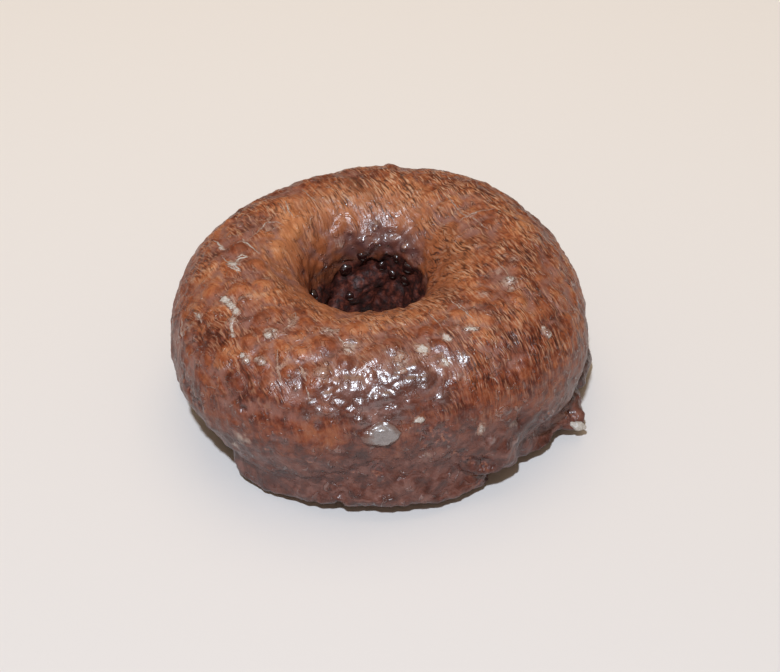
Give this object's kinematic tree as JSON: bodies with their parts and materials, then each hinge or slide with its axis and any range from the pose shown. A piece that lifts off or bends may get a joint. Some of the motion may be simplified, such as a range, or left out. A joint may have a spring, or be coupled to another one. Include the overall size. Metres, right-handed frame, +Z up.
{
  "type": "glazed devils food doughnut",
  "caption": "Glazed dark chocolate cake doughnut: a fat uneven ring with an off-centre hole and a craggy burst crown round its foot.",
  "frame": {"origin": "centre of the doughnut's outline, on the surface it rests on", "axes": "+Z up through the hole, -Y towards the wide front flange, +X towards the hooked nub"},
  "size_m": [0.088, 0.0814, 0.0343],
  "materials": {
    "glazed_cake": "thin sugar glaze over browned chocolate cake"
  },
  "bodies": {
    "root": {"doughnut": "glazed_cake"}
  },
  "joints": []
}
